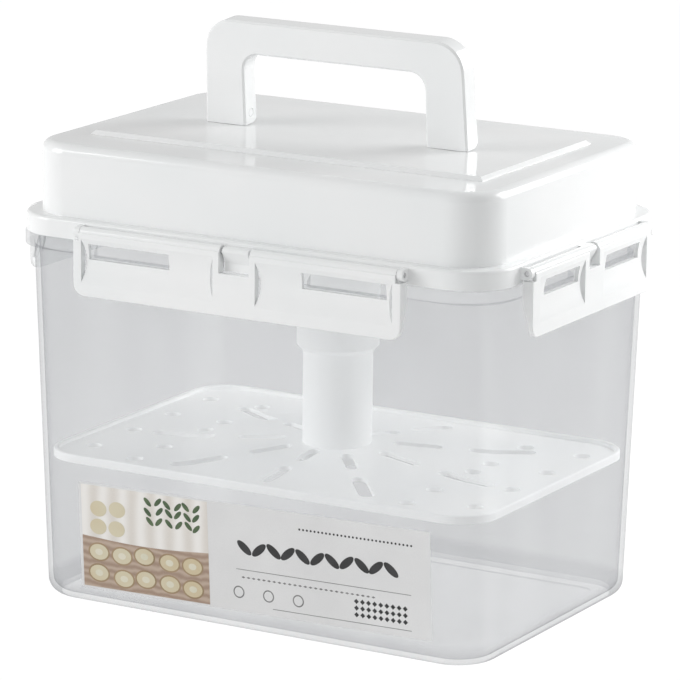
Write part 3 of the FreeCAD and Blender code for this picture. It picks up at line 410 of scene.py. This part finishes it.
def clear_plastic():
    f = Finish("clear_plastic")
    grazing = f.node("LayerWeight", Blend=0.28).outputs["Facing"]
    at_edge = f.sum("POWER", grazing, 1.5)
    milk = f.drift(22.0, (0.28, 0.285, 0.30, 1.0), (0.32, 0.325, 0.34, 1.0))
    film = f.principled(
        # painted shade: the film's colour darkens towards its grazing edges
        f.mix(at_edge, milk, (0.14, 0.145, 0.155, 1.0)),
        f.span(f.noise(45.0, 3.0), 0.18, 0.30),
        f.bump(f.noise(160.0, 1.0), 0.05, 0.0005),
        IOR=MOULDED_IOR,
        Specular_IOR_Level=0.04,
        # the film's painted glow, dimmer at the grazing edges
        Emission_Color=f.mix(at_edge, (0.97, 0.98, 1.0, 1.0), (0.50, 0.51, 0.53, 1.0)),
        Emission_Strength=FILM_GLOW,
    )
    clear = f.node("BsdfTransparent", Color=(0.992, 0.994, 0.996, 1.0))
    path = f.node("LightPath").outputs
    light = f.sum("MAXIMUM", path["Is Shadow Ray"], path["Is Diffuse Ray"])
    kept = f.sum("SUBTRACT", 1.0, f.sum("MULTIPLY", light, 1.0 - LIGHT_HELD_BACK))
    return f.done(f.mix_shaders(f.sum("MULTIPLY", film_share(f, grazing), kept), clear, film))


# %% [markdown]
# ## The strainer's plastic, silicone and steel
# The plate, its column and the sleeve round it have a satin tool finish, so that they don't cling, and a
# faint painted glow that lightens them in the shade under the lid. The gasket and grip ring are silicone,
# softer and duller. The latches' hinge rods are bright drawn steel with a fine, even grain.

# %% Satin, silicone and steel
# the strength of the painted glow that lightens the strainer in the shade under the lid
STRAINER_GLOW = 0.13


def strainer_plastic():
    f = Finish("strainer_plastic")
    shader = f.principled(
        f.drift(18.0, (0.93, 0.94, 0.94, 1.0), (0.96, 0.965, 0.96, 1.0)),
        f.span(f.noise(80.0, 3.0), 0.34, 0.46),
        f.bump(f.noise(1100.0, 2.0), 0.10, 0.0002),
        IOR=MOULDED_IOR,
        Emission_Color=WHITE,
        Emission_Strength=STRAINER_GLOW,
    )
    return f.done(shader.outputs[0])


def silicone():
    f = Finish("silicone")
    shader = f.principled(
        f.drift(30.0, (0.80, 0.81, 0.80, 1.0), (0.86, 0.865, 0.86, 1.0)),
        f.span(f.noise(70.0, 3.0), 0.55, 0.70),
        f.bump(f.noise(900.0, 2.0), 0.15, 0.0002),
    )
    return f.done(shader.outputs[0])


def rod_steel():
    f = Finish("rod_steel")
    grain = f.noise(2600.0, 3.0)
    shader = f.principled(
        f.mix(f.span(grain, 0.0, 1.0), (0.55, 0.55, 0.56, 1.0), (0.68, 0.68, 0.69, 1.0)),
        f.span(grain, 0.22, 0.36),
        Metallic=1.0,
    )
    return f.done(shader.outputs[0])


# %% [markdown]
# ## The label's film
# The label is a satin film printed pale grey all over. Up close the grey isn't even: the press lays it down
# in fine grains, and the film has a few soft waves from being rubbed on by hand. Its back, which shows
# through the empty tub, has a faint painted glow that lightens the shade there.

# %% Label film
# the strength of the painted glow that lightens the shade on the label's back
LABEL_BACK_GLOW = 0.35


def label_film():
    f = Finish("label_film")
    tone = f.drift(40.0, (0.73, 0.73, 0.73, 1.0), (0.77, 0.77, 0.77, 1.0))
    grain = f.mix(f.span(f.noise(2600.0, 1.0), 0.0, 0.22), tone, (0.64, 0.64, 0.65, 1.0))
    on_back = f.sum("GREATER_THAN", f.axes(f.normal)["Y"], 0.5)
    shader = f.principled(
        grain,
        f.span(f.noise(70.0, 3.0), 0.35, 0.45),
        f.bump(f.noise(55.0, 1.0), 0.06, 0.0010),
        Emission_Color=grain,
        # only the label's back gets this painted glow
        Emission_Strength=f.sum("MULTIPLY", on_back, LABEL_BACK_GLOW),
    )
    return f.done(shader.outputs[0])


# %% [markdown]
# ## Give every solid its finish
# Each solid came with the name of the plastic, metal or film it is made of. A table turns that name into
# the finish built above, so a piece that is added later gets its finish by its name alone.

# %% Give every node its finish
FINISHES = {
    "clear_plastic": clear_plastic(),
    "white_plastic": white_plastic(),
    "strainer_plastic": strainer_plastic(),
    "silicone": silicone(),
    "rod_steel": rod_steel(),
    "label_film": label_film(),
}
for name, piece in nodes.items():
    wanted = piece.material_slots[0].material.name.split(".")[0] if piece.material_slots else ""
    print(name, wanted, len(piece.data.polygons))
    if wanted in FINISHES:
        paint(piece, FINISHES[wanted])

# %% [markdown]
# ## Inks
# The print on the label is laid down in flat inks. Each ink is two near shades with a fine grain between
# them, as a screen of tiny dots leaves, and dries to a slightly uneven gloss. The backdrop has soft upright
# folds like hung cloth, and the board under it has a grain that runs along it: both are waves, bent by
# noise.

# %% Inks


def screened(f, shade, other, most):
    """Breaks a shade up with tiny dots of another, which take up to a given share of it."""
    dots = f.mix(f.span(f.noise(3000.0, 1.0), 0.0, most), shade, (*other, 1.0))
    return f.done(f.principled(dots, f.span(f.noise(300.0), 0.32, 0.48)).outputs[0])


def ink(name, one, other, spread=160.0):
    f = Finish(name)
    return screened(f, f.drift(spread, (*one, 1.0), (*other, 1.0)), other, 0.35)


def waved_ink(name, one, other, direction, scale, bend):
    f = Finish(name)
    waves = f.node("TexWave", Vector=f.place, Scale=scale, Distortion=bend, Detail=3.0)
    waves.bands_direction = direction
    return screened(f, f.mix(waves.outputs["Fac"], (*one, 1.0), (*other, 1.0)), other, 0.25)


BLACK = ink("ink_black", (0.012, 0.012, 0.012), (0.030, 0.030, 0.032))
GREY = ink("ink_grey", (0.16, 0.16, 0.16), (0.24, 0.24, 0.24))
LEAF = ink("ink_leaf", (0.035, 0.075, 0.030), (0.10, 0.15, 0.07))
RIND = ink("ink_rind", (0.27, 0.19, 0.10), (0.38, 0.27, 0.16), 60.0)
FLESH = ink("ink_flesh", (0.60, 0.50, 0.32), (0.66, 0.60, 0.44), 45.0)
PALE = ink("ink_pale", (0.66, 0.64, 0.50), (0.74, 0.70, 0.58), 60.0)
CLOTH = waved_ink("ink_cloth", (0.70, 0.66, 0.61), (0.86, 0.84, 0.81), "X", 32.0, 1.2)
BOARD = waved_ink("ink_board", (0.33, 0.23, 0.17), (0.50, 0.39, 0.31), "Z", 90.0, 5.0)

# %% [markdown]
# ## Where the print lies
# The label leans with the tub's wall and was stuck on a little out of level. The print is laid out flat, in
# metres from the label's middle, with its height over the film as the third number, and one matrix then
# sets it on the wall. Each layer is 0.02 mm above the one below, far too little to see from the side.

# %% Print layout
LABEL_MIDDLE = (0.00275, -0.0775764, 0.034)
LABEL_PITCH = 91.9816  # degrees from flat: upright, and leaning out with the wall
LABEL_TWIST = 1.05
LABEL_PLACE = (
    Matrix.Translation(LABEL_MIDDLE)
    @ Matrix.Rotation(radians(LABEL_PITCH), 4, "X")
    @ Matrix.Rotation(radians(LABEL_TWIST), 4, "Z")
)
FILM_TOP = 0.00016
LAYER = 0.00002
AREA_STRIPS = 24

PICTURE_LEFT, PICTURE_RIGHT = -0.0875, -0.0220
PICTURE_BOTTOM, PICTURE_TOP = -0.0234, 0.0234
RULES_END = 0.0790


def set_on_label(made, material):
    """Finishes a flat piece of print: lays it on the wall, gives it its ink and fixes it to the tub."""
    made.data.transform(LABEL_PLACE)
    paint(made, material)
    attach(made, "container")
    return made


def printed_area(name, left, bottom, right_end, top, layer, material, waist=0.0):
    """A patch of ink with a soft waist in its upper edge, cut into strips so that the edge can curve."""
    mesh = bmesh.new()
    height = FILM_TOP + layer * LAYER
    lower, upper = [], []
    for step in range(AREA_STRIPS + 1):
        share = step / AREA_STRIPS
        x = left + (right_end - left) * share
        lower.append(mesh.verts.new((x, bottom, height)))
        upper.append(mesh.verts.new((x, top - waist * sin(pi * share), height)))
    for step in range(AREA_STRIPS):
        mesh.faces.new((lower[step], lower[step + 1], upper[step + 1], upper[step]))
    data = bpy.data.meshes.new(name)
    mesh.to_mesh(data)
    mesh.free()
    made = bpy.data.objects.new(name, data)
    bpy.context.collection.objects.link(made)
    return set_on_label(made, material)


# name, left, bottom, right end and top in metres, layer, ink
printed_area("print_cloth", PICTURE_LEFT, -0.0030, PICTURE_RIGHT, PICTURE_TOP, 1, CLOTH)
printed_area("print_board", PICTURE_LEFT, PICTURE_BOTTOM, PICTURE_RIGHT, 0.0, 2, BOARD, waist=0.0016)
printed_area("print_rule_upper", -0.0080, -0.0052, RULES_END, -0.0049, 1, GREY)
printed_area("print_rule_lower", 0.0100, -0.0212, RULES_END, -0.0209, 1, GREY)

# %% [markdown]
# ## Motifs that repeat
# A label's pattern is a few small shapes set out again and again: dots, rings, leaves, slices. Copying them
# by hand would be dull and rigid. One geometry node tree lays a shape out in rows and columns instead, with
# a little scatter and tilt so that it looks drawn. Its inputs say how many, how far apart, how big and in
# which ink, so the same tree prints every motif.

# %% The tree that repeats a motif
MOTIF_INPUTS = (
    ("Columns", "Int", 4),
    ("Rows", "Int", 1),
    ("Step X", "Float", 0.01),
    ("Step Y", "Float", 0.01),
    ("Corners", "Int", 24),
    ("Length", "Float", 0.004),
    ("Width", "Float", 0.004),
    ("Tilt", "Float", 0.0),
    ("Scatter", "Float", 0.0),
    ("Seed", "Int", 1),
    ("Height", "Float", FILM_TOP),
    ("Ink", "Material", None),
)


def motif_tree():
    tree = bpy.data.node_groups.new("repeated_motif", "GeometryNodeTree")
    tree.interface.new_socket("Geometry", in_out="OUTPUT", socket_type="NodeSocketGeometry")
    for name, kind, value in MOTIF_INPUTS:
        socket = tree.interface.new_socket(name, in_out="INPUT", socket_type="NodeSocket" + kind)
        if value is not None:
            socket.default_value = value
    given = tree.nodes.new("NodeGroupInput").outputs

    def node(kind, **inputs):
        made = tree.nodes.new(kind)
        for name, value in inputs.items():
            feed(made.inputs[name.replace("_", " ")], value)
        return made

    def feed(socket, value):
        if isinstance(value, bpy.types.NodeSocket):
            tree.links.new(value, socket)
        else:
            socket.default_value = value

    def sum_of(operation, *values):
        made = tree.nodes.new("ShaderNodeMath")
        made.operation = operation
        for socket, value in zip(made.inputs, values):
            feed(socket, value)
        return made.outputs[0]

    def centred(count, number, step):
        middle = sum_of("MULTIPLY", sum_of("SUBTRACT", count, 1.0), 0.5)
        return sum_of("MULTIPLY", sum_of("SUBTRACT", number, middle), step)

    def drawn(low, high, seed):
        made = node("FunctionNodeRandomValue", Min=low, Max=high, Seed=seed)
        return made.outputs[1]

    # one point for each motif, row by row
    index = node("GeometryNodeInputIndex").outputs[0]
    row = sum_of("FLOOR", sum_of("DIVIDE", sum_of("ADD", index, 0.5), given["Columns"]))
    column = sum_of("SUBTRACT", index, sum_of("MULTIPLY", row, given["Columns"]))
    low = sum_of("MULTIPLY", given["Scatter"], -1.0)
    place = node("ShaderNodeCombineXYZ", Z=given["Height"])
    for axis, steps, number, step, seed in (
        ("X", given["Columns"], column, given["Step X"], given["Seed"]),
        ("Y", given["Rows"], row, given["Step Y"], sum_of("ADD", given["Seed"], 7.0)),
    ):
        nudge = drawn(low, given["Scatter"], seed)
        feed(place.inputs[axis], sum_of("ADD", centred(steps, number, step), nudge))
    points = node("GeometryNodePoints")
    feed(points.inputs["Count"], sum_of("MULTIPLY", given["Columns"], given["Rows"]))
    feed(points.inputs["Position"], place.outputs[0])

    # every other motif leans the other way
    side = sum_of("SUBTRACT", sum_of("MULTIPLY", sum_of("MODULO", column, 2.0), 2.0), 1.0)
    lean = node("ShaderNodeCombineXYZ", Z=sum_of("MULTIPLY", side, given["Tilt"]))

    # the motif itself: a thin disc or polygon, drawn out to its length and width
    outline = node("GeometryNodeMeshCircle", Vertices=given["Corners"], Radius=0.5)
    outline.fill_type = "NGON"
    shape = node("GeometryNodeTransform", Geometry=outline.outputs[0])
    size = node("ShaderNodeCombineXYZ", X=given["Length"], Y=given["Width"], Z=1.0)
    feed(shape.inputs["Scale"], size.outputs[0])
    copies = node("GeometryNodeInstanceOnPoints", Points=points.outputs[0], Instance=shape.outputs[0])
    feed(copies.inputs["Rotation"], lean.outputs[0])
    one_mesh = node("GeometryNodeRealizeInstances", Geometry=copies.outputs[0])
    inked = node("GeometryNodeSetMaterial", Geometry=one_mesh.outputs[0], Material=given["Ink"])
    given_back = tree.nodes.new("NodeGroupOutput")
    tree.links.new(inked.outputs[0], given_back.inputs["Geometry"])
    return tree


MOTIF_TREE = motif_tree()
print("motif tree has", len(MOTIF_TREE.nodes), "nodes")

# %% [markdown]
# ## Printing the motifs
# The picture side shows a board laid with pickled slices, each a dark rind under a lighter flesh and a
# pale heart, with four plain slices and a spray of leaves above it. The grey side has a bold garland, a
# dotted and a dashed line, a row of rings and a small field of diamonds. Every motif is made into a plain
# mesh and laid on the label.

# %% Print the motifs


def printed_motifs(name, middle, layer, material, **settings):
    """One set of repeated motifs round a middle point on the label."""
    made = bpy.data.objects.new(name, bpy.data.meshes.new(name + "_blank"))
    bpy.context.collection.objects.link(made)
    maker = made.modifiers.new("repeat", "NODES")
    settings = {key.replace("_", " "): value for key, value in settings.items()}
    settings.update({"Height": FILM_TOP + layer * LAYER, "Ink": material})
    maker.node_group = MOTIF_TREE
    for socket in MOTIF_TREE.interface.items_tree:
        if socket.in_out == "INPUT" and socket.name in settings:
            maker[socket.identifier] = settings[socket.name]
    made.update_tag()
    shaped = made.evaluated_get(bpy.context.evaluated_depsgraph_get())
    data = bpy.data.meshes.new_from_object(shaped)
    made.modifiers.remove(maker)
    made.data = data
    data.transform(Matrix.Translation((middle[0], middle[1], 0.0)))
    return set_on_label(made, material)


SLICES = dict(Columns=5, Rows=2, Step_X=0.0122, Step_Y=0.0104, Scatter=0.0009, Seed=5)
RINGS = dict(Columns=3, Rows=1, Step_X=0.0150)
ON_BOARD = (-0.0550, -0.0120)
RING_ROW = (0.0080, -0.0155)
# name, middle in metres, layer, ink, and what the tree is told
printed_motifs("print_slice_rinds", ON_BOARD, 4, RIND, Length=0.0112, Width=0.0086, **SLICES)
printed_motifs("print_slice_flesh", ON_BOARD, 5, FLESH, Length=0.0096, Width=0.0072, **SLICES)
printed_motifs("print_slice_hearts", ON_BOARD, 6, PALE, Length=0.0040, Width=0.0030, **SLICES)
printed_motifs(
    "print_leaves", (-0.0400, 0.0150), 4, LEAF,
    Columns=6, Rows=3, Step_X=0.0050, Step_Y=0.0046, Length=0.0050, Width=0.0021,
    Tilt=0.8, Scatter=0.0008, Seed=3,
)
printed_motifs(
    "print_pale_slices", (-0.0740, 0.0090), 4, FLESH,
    Columns=2, Rows=2, Step_X=0.0100, Step_Y=0.0085, Length=0.0086, Width=0.0072,
    Scatter=0.0004, Seed=9,
)
printed_motifs(
    "print_garland", (0.0330, 0.0050), 2, BLACK,
    Columns=11, Rows=1, Step_X=0.0073, Length=0.0088, Width=0.0036,
    Tilt=0.70, Scatter=0.0002, Seed=2,
)
printed_motifs(
    "print_dotted_line", (0.0520, 0.0170), 1, BLACK,
    Columns=30, Rows=1, Step_X=0.0019, Length=0.0010, Width=0.0010,
)
printed_motifs(
    "print_dashes", (0.0280, -0.0085), 1, GREY,
    Columns=26, Rows=1, Step_X=0.0026, Corners=4, Length=0.0020, Width=0.0010,
)
printed_motifs("print_rings", RING_ROW, 1, GREY, Length=0.0056, Width=0.0056, **RINGS)
printed_motifs(
    "print_ring_holes", RING_ROW, 2, FINISHES["label_film"], Length=0.0044, Width=0.0044, **RINGS
)
printed_motifs(
    "print_diamonds", (0.0640, -0.0145), 1, BLACK,
    Columns=9, Rows=3, Step_X=0.0030, Step_Y=0.0030, Corners=4, Length=0.0024, Width=0.0024,
)
